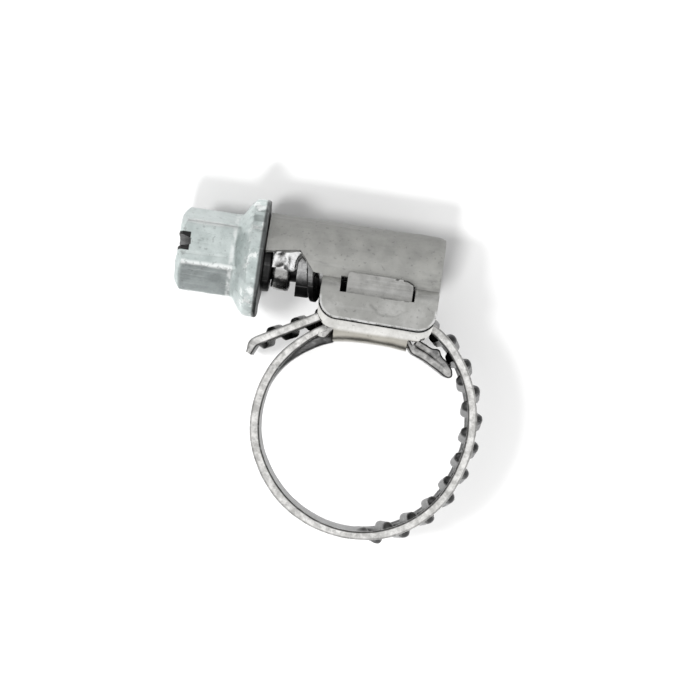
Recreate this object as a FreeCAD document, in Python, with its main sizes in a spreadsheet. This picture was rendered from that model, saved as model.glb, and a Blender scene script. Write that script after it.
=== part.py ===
import FreeCAD, Part
import Sketcher
import math
import os

# Worm-drive hose clamp, millimetres.
# Frame: origin on the bore axis at mid-width of the band, +Z along the bore axis, +X along the
# screw axis from its head towards its tip, +Y from the bore centre to the screw.

SIZES = {
    # bore and band
    "bore_radius": 8.85,
    "band_width": 9.0,
    "band_sheet": 0.55,
    "rolled_edge_height": 0.3,
    "rolled_edge_width": 0.35,
    "left_bulge": 0.65,
    "left_bulge_start_angle": 124.0,
    "left_bulge_end_angle": 210.0,
    "right_swell_start_angle": -30.0,
    "right_swell_end_angle": 65.0,
    "right_swell_power": 1.4,
    "joint_cut_angle": 38.0,
    "joint_cut_gap_angle": 1.2,
    # fixed end of the band, folded into a tongue
    "tongue_tip_angle": 44.0,
    "tongue_fold_gap": 0.12,
    "tongue_layer_gap_angle": 0.12,
    "joggle_margin_angle": 1.5,
    # running thread of the band
    "stack_clearance": 0.03,
    "run_clearance": 0.4,
    "emboss_amplitude": 0.65,
    "emboss_width": 5.5,
    "emboss_top": 0.5,
    "emboss_flank": 0.606,
    "emboss_inner_ease": 0.2,
    "emboss_least_valley": 0.05,
    "tail_start_angle": 121.0,
    "tail_length": 6.0,
    "tail_lip": 0.9,
    "tail_lip_angle": 35.0,
    # saddle that the band's fixed end is locked in
    "saddle_sheet": 0.7,
    "saddle_wall_gap": 0.15,
    "saddle_left": -5.95,
    "saddle_right": 4.7,
    "saddle_bottom_rise": 0.25,
    "saddle_wall_rise": 3.5,
    "saddle_corner": 1.6,
    "strap_left": -4.2,
    "strap_right": 2.6,
    "tab_left": -3.6,
    "tab_right": 2.45,
    "tab_height": 2.25,
    # housing
    "thread_standoff": 0.22,
    "thread_clearance": 0.45,
    "barrel_wall_gap": 0.05,
    "barrel_sheet": 0.8,
    "barrel_front": -11.3,
    "barrel_back": 4.85,
    "barrel_front_edge_rise": 1.2,
    "plate_front": -5.9,
    "plate_sheet": 0.7,
    "plate_gap": 0.05,
    "plate_drop": 4.5,
    "plate_corner": 1.8,
    "foot_drop": 1.3,
    "notch_left": -4.2,
    "notch_right": 2.7,
    "notch_clearance": 0.05,
    "throat_front": -10.6,
    "throat_back": -8.9,
    "throat_radius": 2.45,
    "throat_clearance": 0.1,
    # worm screw
    "thread_pitch": 2.45,
    "thread_radius": 3.2,
    "thread_depth": 1.1,
    "thread_crest": 0.5,
    "thread_flank": 0.444,
    "thread_start": -8.3,
    "thread_end": 4.5,
    "mesh_position": 0.82,
    "neck_radius": 1.65,
    "neck_start": -10.7,
    "collar_radius": 2.9,
    "flange_back": -11.7,
    "flange_front": -12.9,
    "flange_radius": 5.45,
    "flange_face_radius": 5.07,
    "flange_rim_width": 0.25,
    "cone_front": -14.4,
    "head_end": -19.5,
    "head_flats": 7.0,
    "head_turn": 10.5,
    "head_chamfer": 0.55,
    "head_chamfer_slope": 1.7,
    "slot_width": 1.3,
    "slot_depth": 1.4,
    # how far cutting tools reach past what they cut
    "tool_margin": 1.0,
    "weld_overlap": 0.05,
}

# Places that follow from the sizes above: the worm stands over the band stack, and the housing
# and the saddle are built round both.
PLACES = {
    "run_floor": "bore_radius + saddle_sheet + band_sheet + stack_clearance + run_clearance"
    " + emboss_amplitude",
    "screw_height": "run_floor + thread_standoff + thread_radius",
    "barrel_radius": "thread_radius + thread_clearance + barrel_sheet",
    "barrel_front_edge": "screw_height + barrel_front_edge_rise",
    "plate_bottom": "screw_height - plate_drop",
    "foot_top": "screw_height - foot_drop",
    "saddle_bottom": "bore_radius + saddle_bottom_rise",
    "saddle_wall_top": "bore_radius + saddle_wall_rise",
    "tab_top": "saddle_wall_top + tab_height",
    "notch_bottom": "saddle_wall_top + notch_clearance",
}

doc = FreeCAD.newDocument("hose_clamp")
sheet = doc.addObject("Spreadsheet::Sheet", "sizes")
for row, (alias, value) in enumerate((SIZES | PLACES).items(), start=1):
    sheet.set(f"A{row}", alias)
    sheet.set(f"B{row}", f"={value}")
    sheet.setAlias(f"B{row}", alias)
    doc.recompute()


def size(alias):
    """The number that the sheet holds under this name."""
    return float(sheet.get(alias))


def bound(text):
    """An expression with each size's name read from the sheet."""
    words = []
    word = ""
    for letter in text + " ":
        if letter.isalnum() or letter in "_.":
            word += letter
            continue
        words.append(f"sizes.{word}" if word in SIZES or word in PLACES else word)
        words.append(letter)
        word = ""
    return "".join(words).strip()


def bind(thing, prop, text):
    thing.setExpression(prop, bound(text))


def box(name, x_from, x_to, y_from, y_to, z_from, z_to):
    """A box between six bound coordinates."""
    thing = doc.addObject("Part::Box", name)
    bind(thing, "Length", f"({x_to}) - ({x_from})")
    bind(thing, "Width", f"({y_to}) - ({y_from})")
    bind(thing, "Height", f"({z_to}) - ({z_from})")
    bind(thing, "Placement.Base.x", x_from)
    bind(thing, "Placement.Base.y", y_from)
    bind(thing, "Placement.Base.z", z_from)
    return thing


def rod_along_z(name, radius, x, y, z_from, z_to):
    """A cylinder along Z."""
    thing = doc.addObject("Part::Cylinder", name)
    bind(thing, "Radius", radius)
    bind(thing, "Height", f"({z_to}) - ({z_from})")
    bind(thing, "Placement.Base.x", x)
    bind(thing, "Placement.Base.y", y)
    bind(thing, "Placement.Base.z", z_from)
    return thing


def rod_along_x(name, radius, x_from, x_to):
    """A cylinder on the screw axis."""
    thing = doc.addObject("Part::Cylinder", name)
    thing.Placement = FreeCAD.Placement(
        FreeCAD.Vector(0, 0, 0), FreeCAD.Rotation(FreeCAD.Vector(0, 1, 0), 90)
    )
    bind(thing, "Radius", radius)
    bind(thing, "Height", f"({x_to}) - ({x_from})")
    bind(thing, "Placement.Base.x", x_from)
    bind(thing, "Placement.Base.y", "screw_height")
    return thing


def fuse(name, *things):
    thing = doc.addObject("Part::MultiFuse", name)
    thing.Shapes = list(things)
    thing.Refine = True
    return thing


def cut(name, base, tool):
    thing = doc.addObject("Part::Cut", name)
    thing.Base = base
    thing.Tool = tool
    thing.Refine = True
    return thing


def common(name, base, tool):
    thing = doc.addObject("Part::Common", name)
    thing.Base = base
    thing.Tool = tool
    thing.Refine = True
    return thing


def rounded_plate(name, x_from, x_to, y_from, y_to, z_from, z_to, corner):
    """An upright plate whose two lower corners are round."""
    upper = box(f"{name}_upper", x_from, x_to, f"({y_from}) + {corner}", y_to, z_from, z_to)
    lower = box(f"{name}_lower", f"({x_from}) + {corner}", f"({x_to}) - {corner}", y_from, y_to, z_from, z_to)
    centre_y = f"({y_from}) + {corner}"
    left = rod_along_z(f"{name}_left", corner, f"({x_from}) + {corner}", centre_y, z_from, z_to)
    right = rod_along_z(f"{name}_right", corner, f"({x_to}) - {corner}", centre_y, z_from, z_to)
    return fuse(name, upper, lower, left, right)


def mirrored(name, source):
    """The same solid on the other side of the mid-width plane."""
    thing = doc.addObject("Part::Mirroring", name)
    thing.Source = source
    thing.Normal = FreeCAD.Vector(0, 0, 1)
    return thing


# ---------------------------------------------------------------- saddle

WALL_INNER = "(max(band_width / 2; barrel_radius + barrel_wall_gap) + saddle_wall_gap)"
WALL_OUTER = f"({WALL_INNER} + saddle_sheet)"


def make_saddle():
    """A U-shaped cradle: a curved strap on the bore and two walls, each with a tab."""
    wall = rounded_plate(
        "saddle_wall", "saddle_left", "saddle_right", "saddle_bottom", "saddle_wall_top",
        WALL_INNER, WALL_OUTER, "saddle_corner",
    )
    tab = box(
        "saddle_tab", "tab_left", "tab_right", "saddle_wall_top - saddle_sheet", "tab_top",
        WALL_INNER, WALL_OUTER,
    )
    side = fuse("saddle_side", wall, tab)
    other_side = mirrored("saddle_other_side", side)
    disc = rod_along_z("strap_disc", "bore_radius + saddle_sheet", "0", "0", f"-{WALL_OUTER}", WALL_OUTER)
    window = box(
        "strap_window", "strap_left", "strap_right", "0", "bore_radius * 2",
        f"-{WALL_OUTER}", WALL_OUTER,
    )
    arch = common("strap_arch", disc, window)
    whole = fuse("saddle_whole", side, other_side, arch)
    bore = rod_along_z("saddle_bore", "bore_radius", "0", "0", f"-{WALL_OUTER} * 2", f"{WALL_OUTER} * 2")
    return cut("saddle", whole, bore)


# ---------------------------------------------------------------- housing

PLATE_INNER = f"({WALL_OUTER} + plate_gap)"
PLATE_OUTER = f"({PLATE_INNER} + plate_sheet)"
BARREL_INNER = "(barrel_radius - barrel_sheet)"


def make_housing():
    """A barrel over the worm, folded out into a foot and two side plates, with a throat at the neck."""
    tube = rod_along_x("barrel_outside", "barrel_radius", "barrel_front", "barrel_back")
    front_trim = box(
        "barrel_front_trim", "barrel_front - tool_margin", "plate_front", "0", "barrel_front_edge",
        "-barrel_radius * 2", "barrel_radius * 2",
    )
    under_trim = box(
        "barrel_under_trim", "barrel_front - tool_margin", "barrel_back + tool_margin", "0", "screw_height",
        "-barrel_radius * 2", "barrel_radius * 2",
    )
    hood = cut("barrel_hood", tube, fuse("barrel_trim", front_trim, under_trim))
    cheek = box(
        "cheek", "plate_front", "barrel_back", "foot_top - plate_sheet", "screw_height",
        BARREL_INNER, "barrel_radius",
    )
    foot = box(
        "foot", "plate_front", "barrel_back", "foot_top - plate_sheet", "foot_top", BARREL_INNER, PLATE_OUTER,
    )
    plate = rounded_plate(
        "plate", "plate_front", "barrel_back", "plate_bottom", "foot_top",
        PLATE_INNER, PLATE_OUTER, "plate_corner",
    )
    notch = box(
        "notch", "notch_left", "notch_right", "notch_bottom", "screw_height",
        "barrel_radius + saddle_wall_gap", f"{PLATE_OUTER} * 2",
    )
    side_blank = fuse("housing_side_blank", cheek, foot, plate)
    side = cut("housing_side", side_blank, notch)
    throat_ring = rod_along_x("throat_outside", "throat_radius", "throat_front", "throat_back")
    web = box(
        "throat_web", "throat_front", "throat_back", "screw_height", "barrel_front_edge + barrel_sheet",
        "-barrel_radius + barrel_sheet / 2", "barrel_radius - barrel_sheet / 2",
    )
    shell_void = rod_along_x("barrel_inside", BARREL_INNER, "throat_back", "barrel_back + tool_margin")
    mouth_void = rod_along_x("mouth_inside", BARREL_INNER, "barrel_front - tool_margin", "throat_front")
    neck_void = rod_along_x(
        "neck_hole", "neck_radius + throat_clearance",
        "barrel_front - tool_margin", "barrel_back + tool_margin",
    )
    hood_void = rod_along_x(
        "hood_void", BARREL_INNER, "barrel_front - tool_margin", "barrel_back + tool_margin"
    )
    hood_open = cut("hood_open", hood, hood_void)
    throat_blank = fuse("throat_blank", throat_ring, web)
    throat_void = fuse("throat_void", neck_void, shell_void, mouth_void)
    throat = cut("throat", throat_blank, throat_void)
    return fuse("housing", hood_open, throat, side, mirrored("housing_other_side", side))


# ---------------------------------------------------------------- band

def smooth_step(part):
    part = min(max(part, 0.0), 1.0)
    return part * part * (3.0 - 2.0 * part)


def run_floor_radius():
    """Inner radius of the free run where it passes under the worm, between its embossed ribs."""
    return size("run_floor")


def right_floor_radius(angle):
    """Inner radius of the band where it swells from the bore circle out to the free run."""
    span = size("right_swell_end_angle") - size("right_swell_start_angle")
    part = min(max((angle - size("right_swell_start_angle")) / span, 0.0), 1.0)
    swell = run_floor_radius() - size("bore_radius")
    return size("bore_radius") + swell * smooth_step(part ** size("right_swell_power"))


def left_floor_radius(angle):
    """Inner radius of the band where it bulges between the strap and the bore circle."""
    start = size("left_bulge_start_angle")
    span = size("left_bulge_end_angle") - start
    part = min(max((angle - start) / span, 0.0), 1.0)
    return size("bore_radius") + size("left_bulge") * math.sin(math.pi * part) ** 2


def polar(radius, angle):
    turn = math.radians(angle)
    return FreeCAD.Vector(radius * math.cos(turn), radius * math.sin(turn), 0)


def arc_edge(radius, first, last):
    """An arc about the bore axis from one angle to the other."""
    middle = polar(radius, (first + last) / 2)
    return Part.Arc(polar(radius, first), middle, polar(radius, last)).toShape()


def curve_edge(radius_of_angle, offset, first, last, steps=12):
    """A smooth curve whose radius about the bore axis follows a formula."""
    points = []
    for step in range(steps + 1):
        angle = first + (last - first) * step / steps
        points.append(polar(radius_of_angle(angle) + offset, angle))
    curve = Part.BSplineCurve()
    curve.interpolate(points)
    return curve.toShape()


def line_edge(first, last):
    return Part.LineSegment(first, last).toShape()


def strip(edges, z_from, z_to):
    """A closed outline raised between two heights."""
    face = Part.Face(Part.Wire(Part.__sortEdges__(edges)))
    solid = face.extrude(FreeCAD.Vector(0, 0, z_to - z_from))
    solid.translate(FreeCAD.Vector(0, 0, z_from))
    return solid


def fixed_end_edges():
    """The band's fixed end: over the strap, then folded back on itself as a tongue, as one closed outline."""
    bore = size("bore_radius")
    sheet_thickness = size("band_sheet")
    over = bore + size("saddle_sheet") + size("stack_clearance")
    margin = size("joggle_margin_angle")
    left_joggle = math.degrees(math.acos(size("strap_left") / bore)) + margin
    right_joggle = math.degrees(math.acos(size("strap_right") / bore)) - margin
    wall_turn = math.degrees(sheet_thickness / (bore + size("saddle_sheet")))
    bulge_start = size("left_bulge_start_angle")
    bulge_end = size("left_bulge_end_angle")
    low = size("right_swell_start_angle")
    cut_angle = size("joint_cut_angle")
    tip = size("tongue_tip_angle")
    layer_end = right_joggle - wall_turn - size("tongue_layer_gap_angle")
    gap = size("tongue_fold_gap")
    fold_inner = bore + sheet_thickness
    fold_outer = fold_inner + gap
    top = fold_outer + sheet_thickness
    eye = tip + math.degrees(sheet_thickness / fold_inner)
    inner = [
        curve_edge(right_floor_radius, 0, cut_angle, low),
        arc_edge(bore, low, bulge_end - 360),
        curve_edge(left_floor_radius, 0, bulge_end, bulge_start),
        arc_edge(bore, bulge_start, left_joggle),
        line_edge(polar(bore, left_joggle), polar(over, left_joggle)),
        arc_edge(over, left_joggle, right_joggle),
        line_edge(polar(over, right_joggle), polar(bore, right_joggle)),
        arc_edge(bore, right_joggle, tip),
        Part.Arc(
            polar(bore, tip),
            polar((bore + top) / 2, tip - math.degrees((top - bore) / 2 / bore)),
            polar(top, tip),
        ).toShape(),
        arc_edge(top, tip, layer_end),
        line_edge(polar(top, layer_end), polar(fold_outer, layer_end)),
        arc_edge(fold_outer, layer_end, eye),
        line_edge(polar(fold_outer, eye), polar(fold_inner, eye)),
        arc_edge(fold_inner, eye, right_joggle - wall_turn),
    ]
    outer = [
        line_edge(
            polar(fold_inner, right_joggle - wall_turn),
            polar(over + sheet_thickness, right_joggle - wall_turn),
        ),
        arc_edge(over + sheet_thickness, right_joggle - wall_turn, left_joggle + wall_turn),
        line_edge(
            polar(over + sheet_thickness, left_joggle + wall_turn), polar(fold_inner, left_joggle + wall_turn)
        ),
        arc_edge(fold_inner, left_joggle + wall_turn, bulge_start),
        curve_edge(left_floor_radius, sheet_thickness, bulge_start, bulge_end),
        arc_edge(fold_inner, bulge_end - 360, low),
        curve_edge(right_floor_radius, sheet_thickness, low, cut_angle),
        line_edge(
            polar(right_floor_radius(cut_angle) + sheet_thickness, cut_angle),
            polar(right_floor_radius(cut_angle), cut_angle),
        ),
    ]
    return inner + outer


def rolled_edge_edges():
    """The outline of the turned-up edge along the loop, from the cut down and round to the strap."""
    low = size("right_swell_start_angle")
    cut_angle = size("joint_cut_angle")
    bulge_start = size("left_bulge_start_angle")
    bulge_end = size("left_bulge_end_angle")
    base = size("band_sheet") / 2
    rise = size("band_sheet") + size("rolled_edge_height")
    bore = size("bore_radius")
    return [
        curve_edge(right_floor_radius, base, cut_angle, low),
        arc_edge(bore + base, low, bulge_end - 360),
        curve_edge(left_floor_radius, base, bulge_end, bulge_start),
        line_edge(polar(bore + base, bulge_start), polar(bore + rise, bulge_start)),
        curve_edge(left_floor_radius, rise, bulge_start, bulge_end),
        arc_edge(bore + rise, bulge_end - 360, low),
        curve_edge(right_floor_radius, rise, low, cut_angle),
        line_edge(
            polar(right_floor_radius(cut_angle) + rise, cut_angle),
            polar(right_floor_radius(cut_angle) + base, cut_angle),
        ),
    ]


def add_solid(name, shape):
    thing = doc.addObject("Part::Feature", name)
    thing.Shape = shape
    thing.Placement = FreeCAD.Placement()
    return thing


def make_band_loop():
    """The fixed part of the band: the folded tongue, the layer over the strap and the loop round the hose."""
    half = size("band_width") / 2
    lip = size("rolled_edge_width")
    floor = strip(fixed_end_edges(), -half, half)
    near = strip(rolled_edge_edges(), half - lip, half)
    far = strip(rolled_edge_edges(), -half, lip - half)
    return add_solid("band_loop", floor.fuse([near, far]).removeSplitter())


def run_path(length):
    """A point and outward direction on the mid-sheet of the free run, this far along it from the cut."""
    middle = size("band_sheet") / 2
    cut_angle = size("joint_cut_angle") + size("joint_cut_gap_angle")
    swell_end = size("right_swell_end_angle")
    tail_start = size("tail_start_angle")
    steps = 30
    travelled = 0.0
    angle = cut_angle
    step_angle = (swell_end - cut_angle) / steps
    previous = polar(right_floor_radius(angle) + middle, angle)
    for step in range(steps):
        angle = cut_angle + (step + 1) * step_angle
        point = polar(right_floor_radius(angle) + middle, angle)
        piece = previous.distanceToPoint(point)
        if travelled + piece >= length:
            tangent = (point - previous).normalize()
            place = previous + tangent * (length - travelled)
            return place, FreeCAD.Vector(tangent.y, -tangent.x, 0)
        travelled += piece
        previous = point
    radius = run_floor_radius() + middle
    arc_length = radius * math.radians(tail_start - swell_end)
    if length <= travelled + arc_length:
        angle = swell_end + math.degrees((length - travelled) / radius)
        return polar(radius, angle), polar(1, angle)
    start = polar(radius, tail_start)
    outward = polar(1, tail_start)
    tangent = FreeCAD.Vector(-outward.y, outward.x, 0)
    return start + tangent * (length - travelled - arc_length), outward


def run_lengths():
    """Where the swell, the arc and the straight tail of the free run end, measured from the cut."""
    swell_end = size("right_swell_end_angle")
    radius = run_floor_radius() + size("band_sheet") / 2
    low = 0.0
    high = radius
    target = polar(radius, swell_end)
    while high - low > 1e-4:
        middle = (low + high) / 2
        place, _ = run_path(middle)
        if math.atan2(place.y, place.x) < math.atan2(target.y, target.x):
            low = middle
        else:
            high = middle
    arc_end = low + radius * math.radians(size("tail_start_angle") - swell_end)
    return low, arc_end, arc_end + size("tail_length")


def mesh_length():
    """Distance along the run of the valley that a turn of the worm's thread stands in."""
    swell_length, _, _ = run_lengths()
    radius = run_floor_radius() + size("band_sheet") / 2
    pitch_radius = radius + size("band_sheet") / 2
    turn = 90 - math.degrees(math.atan(size("mesh_position") / pitch_radius))
    return swell_length + radius * math.radians(turn - size("right_swell_end_angle"))


def side_points(offsets):
    """Points along one side of the free run, for (distance along it, height off its mid-sheet)."""
    points = []
    for along, height in offsets:
        place, outward = run_path(along)
        points.append(place + outward * height)
    return points


def plain_offsets(height, end):
    steps = 48
    return [(end * step / steps, height) for step in range(steps + 1)]


def embossed_offsets(side, end):
    """Corners of the embossing on the outer (+1) or inner (-1) side of the run."""
    half_sheet = size("band_sheet") / 2
    crest = half_sheet + size("emboss_amplitude")
    valley = half_sheet - size("emboss_amplitude")
    pitch = size("thread_pitch") * run_pitch_scale()
    half_top = size("emboss_top") / 2
    flank = size("emboss_flank")
    if side < 0:
        half_top = pitch / 2 - half_top - flank + size("emboss_inner_ease")
        half_top = min(half_top, pitch / 2 - flank - size("emboss_least_valley"))
    phase = mesh_length() + (pitch / 2 if side > 0 else 0)
    first = math.ceil((half_top + flank - phase) / pitch)
    last = math.floor((end - half_top - flank - phase) / pitch)
    short_flank = flank * (crest - half_sheet) / (crest - valley)
    offsets = [(0, side * half_sheet)]
    for count in range(first, last + 1):
        centre = phase + count * pitch
        rise = (short_flank, half_sheet) if count == first else (flank, valley)
        fall = (short_flank, half_sheet) if count == last else (flank, valley)
        offsets += [
            (centre - half_top - rise[0], side * rise[1]),
            (centre - half_top, side * crest),
            (centre + half_top, side * crest),
            (centre + half_top + fall[0], side * fall[1]),
        ]
    offsets.append((end, side * half_sheet))
    return offsets


def run_pitch_scale():
    """The embossing's pitch on the mid-sheet, as a share of the thread's pitch at the pitch radius."""
    radius = run_floor_radius() + size("band_sheet") / 2
    return radius / (radius + size("band_sheet") / 2)


def ribbon(outer, inner, z_from, z_to):
    """A strip between an outer and an inner side, raised between two heights."""
    corners = outer + inner[::-1]
    outline = Part.makePolygon(corners + [corners[0]])
    solid = Part.Face(outline).extrude(FreeCAD.Vector(0, 0, z_to - z_from))
    solid.translate(FreeCAD.Vector(0, 0, z_from))
    return solid


def make_free_run():
    """The embossed run of the band under the worm, with its straight tail and bent lip."""
    half = size("band_width") / 2
    half_sheet = size("band_sheet") / 2
    middle = size("emboss_width") / 2
    lip = size("rolled_edge_width")
    _, _, end = run_lengths()
    outer = side_points(plain_offsets(half_sheet, end))
    inner = side_points(plain_offsets(-half_sheet, end))
    raised = side_points(plain_offsets(half_sheet + size("rolled_edge_height"), end))
    rib_outer = side_points(embossed_offsets(1, end))
    rib_inner = side_points(embossed_offsets(-1, end))
    embossed = ribbon(rib_outer, rib_inner, -middle, middle)
    pieces = []
    for side in (-1, 1):
        low, high = sorted((side * middle, side * half))
        pieces.append(ribbon(outer, inner, low, high))
        low, high = sorted((side * (half - lip), side * half))
        pieces.append(ribbon(raised, inner, low, high))
    place, outward = run_path(end)
    tangent = FreeCAD.Vector(-outward.y, outward.x, 0)
    turn = math.radians(size("tail_lip_angle"))
    along = tangent * math.cos(turn) - outward * math.sin(turn)
    across = outward * math.cos(turn) + tangent * math.sin(turn)
    root = place - tangent * half_sheet
    corners = [
        root + outward * half_sheet,
        root + across * half_sheet + along * size("tail_lip"),
        root - across * half_sheet + along * size("tail_lip"),
        root - outward * half_sheet,
    ]
    outline = Part.makePolygon(corners + [corners[0]])
    lip_solid = Part.Face(outline).extrude(FreeCAD.Vector(0, 0, half * 2))
    lip_solid.translate(FreeCAD.Vector(0, 0, -half))
    return add_solid("band_free_run", embossed.fuse(pieces + [lip_solid]).removeSplitter())


# ---------------------------------------------------------------- worm screw

def origin_plane(body, role):
    for feature in body.Origin.OriginFeatures:
        if feature.Role == role:
            return feature
    raise ValueError(role)


def outline_sketch(body, name, role, corners):
    """A closed outline of straight lines; each corner's place is bound to the sheet."""
    sketch = body.newObject("Sketcher::SketchObject", name)
    sketch.AttachmentSupport = [(origin_plane(body, role), "")]
    sketch.MapMode = "FlatFace"
    doc.recompute()
    guesses = [
        FreeCAD.Vector(*(float(sketch.evalExpression(bound(text))) for text in corner), 0)
        for corner in corners
    ]
    count = len(corners)
    for number in range(count):
        sketch.addGeometry(Part.LineSegment(guesses[number], guesses[(number + 1) % count]), False)
    for number in range(count):
        sketch.addConstraint(Sketcher.Constraint("Coincident", number, 2, (number + 1) % count, 1))
    for number, (x, y) in enumerate(corners):
        place = guesses[number]
        for kind, text, value in (("DistanceX", x, place.x), ("DistanceY", y, place.y)):
            index = sketch.addConstraint(Sketcher.Constraint(kind, -1, 1, number, 1, value))
            bind(sketch, f"Constraints[{index}]", text)
    return sketch


CORE_RADIUS = "(thread_radius - thread_depth)"
TOOTH_LEAD = "(thread_flank + thread_crest / 2)"
START_TURN = f"(180 - 360 * (mesh_position - thread_start - {TOOTH_LEAD}) / thread_pitch)"
HEAD_TURN = f"(head_turn + {START_TURN})"


def make_worm_screw():
    """Slotted hexagon head, cone, flange, collar, neck and worm, turned from one bar."""
    body = doc.addObject("PartDesign::Body", "worm_screw")
    corner = "head_flats / sqrt(3)"
    profile = outline_sketch(body, "shank_outline", "XY_Plane", [
        ("cone_front", "0"),
        ("cone_front", "head_flats / 2"),
        ("flange_front", "flange_face_radius"),
        ("flange_front + flange_rim_width", "flange_radius"),
        ("flange_back - flange_rim_width", "flange_radius"),
        ("flange_back", "flange_face_radius"),
        ("flange_back", "collar_radius"),
        ("neck_start", "collar_radius"),
        ("neck_start", "neck_radius"),
        ("thread_start", "neck_radius"),
        ("thread_start", CORE_RADIUS),
        ("thread_end", CORE_RADIUS),
        ("thread_end", "0"),
    ])
    shank = body.newObject("PartDesign::Revolution", "shank")
    shank.Profile = profile
    shank.ReferenceAxis = (origin_plane(body, "X_Axis"), [""])
    shank.Angle = 360
    doc.recompute()

    hexagon = outline_sketch(body, "hexagon", "YZ_Plane", [
        (f"{corner} * cos({60 * number} - {HEAD_TURN})", f"{corner} * sin({60 * number} - {HEAD_TURN})")
        for number in range(6)
    ])
    bind(hexagon, "AttachmentOffset.Base.z", "head_end")
    head = body.newObject("PartDesign::Pad", "head")
    head.Profile = hexagon
    bind(head, "Length", "cone_front - head_end")
    doc.recompute()

    chamfered = f"{corner} - head_chamfer * head_chamfer_slope"
    chamfer_outline = outline_sketch(body, "chamfer_outline", "XY_Plane", [
        ("head_end - tool_margin", chamfered),
        ("head_end", chamfered),
        ("head_end + head_chamfer", f"{corner} + weld_overlap"),
        ("head_end + head_chamfer", f"{corner} + tool_margin"),
        ("head_end - tool_margin", f"{corner} + tool_margin"),
    ])
    chamfer = body.newObject("PartDesign::Groove", "chamfer")
    chamfer.Profile = chamfer_outline
    chamfer.ReferenceAxis = (origin_plane(body, "X_Axis"), [""])
    chamfer.Angle = 360
    doc.recompute()

    slot_outline = outline_sketch(body, "slot_outline", "XY_Plane", [
        ("head_end - tool_margin", "-slot_width / 2"),
        ("head_end + slot_depth", "-slot_width / 2"),
        ("head_end + slot_depth", "slot_width / 2"),
        ("head_end - tool_margin", "slot_width / 2"),
    ])
    along_x = FreeCAD.Vector(1, 0, 0)
    slot_outline.AttachmentOffset = FreeCAD.Placement(
        FreeCAD.Vector(0, 0, 0), FreeCAD.Rotation(along_x, -size("head_turn") - thread_start_turn())
    )
    doc.recompute()
    slot = body.newObject("PartDesign::Pocket", "slot")
    slot.Profile = slot_outline
    slot.Type = 1
    slot.Midplane = True
    doc.recompute()
    tooth_centre = f"(thread_start + {TOOTH_LEAD})"
    tooth = outline_sketch(body, "tooth_outline", "XY_Plane", [
        ("thread_start", f"{CORE_RADIUS} - weld_overlap"),
        (f"{tooth_centre} - thread_crest / 2", "thread_radius"),
        (f"{tooth_centre} + thread_crest / 2", "thread_radius"),
        (f"{tooth_centre} + {TOOTH_LEAD}", f"{CORE_RADIUS} - weld_overlap"),
    ])
    thread = body.newObject("PartDesign::AdditiveHelix", "thread")
    thread.Profile = tooth
    thread.ReferenceAxis = (origin_plane(body, "X_Axis"), [""])
    thread.Mode = 0
    thread.LeftHanded = False
    bind(thread, "Pitch", "thread_pitch")
    bind(thread, "Height", f"thread_end - thread_start - 2 * {TOOTH_LEAD}")
    doc.recompute()

    body.Placement = FreeCAD.Placement(
        FreeCAD.Vector(0, size("screw_height"), 0), FreeCAD.Rotation(along_x, thread_start_turn())
    )
    return body


def thread_start_turn():
    """How far the screw is turned so that a thread turn stands at the mesh position below its axis."""
    lead = size("thread_flank") + size("thread_crest") / 2
    along = size("mesh_position") - (size("thread_start") + lead)
    return 180 - 360 * along / size("thread_pitch")


make_saddle()
make_housing()
make_band_loop()
make_free_run()
make_worm_screw()
doc.recompute()

NODES = ["housing", "saddle", "band_loop", "band_free_run", "worm_screw"]

for thing in doc.Objects:
    if "Invalid" in thing.State or "Error" in thing.State:
        raise ValueError(f"{thing.Name} failed: {thing.State}")

os.makedirs("parts", exist_ok=True)
for name in NODES:
    node = doc.getObject(name)
    node.Label = name
    if node.Shape.isNull() or not node.Shape.isValid():
        raise ValueError(f"{name} has no valid shape")
    print(name, len(node.Shape.Solids), round(node.Shape.Volume, 2), node.Shape.BoundBox)
for name in NODES:
    doc.getObject(name).Shape.exportStep(f"parts/{name}.step")
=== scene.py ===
import math

import bpy
import numpy as np
from mathutils import Matrix, Vector


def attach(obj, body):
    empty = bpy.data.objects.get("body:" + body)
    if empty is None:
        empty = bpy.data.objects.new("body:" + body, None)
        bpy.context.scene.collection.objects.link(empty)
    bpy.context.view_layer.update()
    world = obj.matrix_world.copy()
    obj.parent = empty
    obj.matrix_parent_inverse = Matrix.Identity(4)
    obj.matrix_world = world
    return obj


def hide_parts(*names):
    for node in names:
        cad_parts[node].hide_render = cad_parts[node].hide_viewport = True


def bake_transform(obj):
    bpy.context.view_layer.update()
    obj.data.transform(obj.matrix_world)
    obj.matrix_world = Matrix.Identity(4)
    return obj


# Worm-drive hose clamp. Shapes are worked out in millimetres in the part's own frame:
# +Z along the bore, +X along the screw from its head, +Y from the bore to the screw.

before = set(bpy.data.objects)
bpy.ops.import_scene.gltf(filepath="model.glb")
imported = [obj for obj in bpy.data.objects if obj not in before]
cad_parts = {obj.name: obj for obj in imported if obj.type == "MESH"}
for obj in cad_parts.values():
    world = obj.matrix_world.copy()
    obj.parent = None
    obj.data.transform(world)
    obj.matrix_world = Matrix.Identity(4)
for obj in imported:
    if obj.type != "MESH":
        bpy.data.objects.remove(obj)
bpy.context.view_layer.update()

MM = 0.001
SCREW_Y = 14.6
PITCH = 2.45
HALF_BAND = 4.5
SHEET = 0.55


# ---------------------------------------------------------------- shape helpers

def smooth(low, high, value):
    """Rises from 0 at low to 1 at high: 3t^2 - 2t^3."""
    part = np.clip((value - low) / (high - low), 0.0, 1.0)
    return part * part * (3.0 - 2.0 * part)


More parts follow.
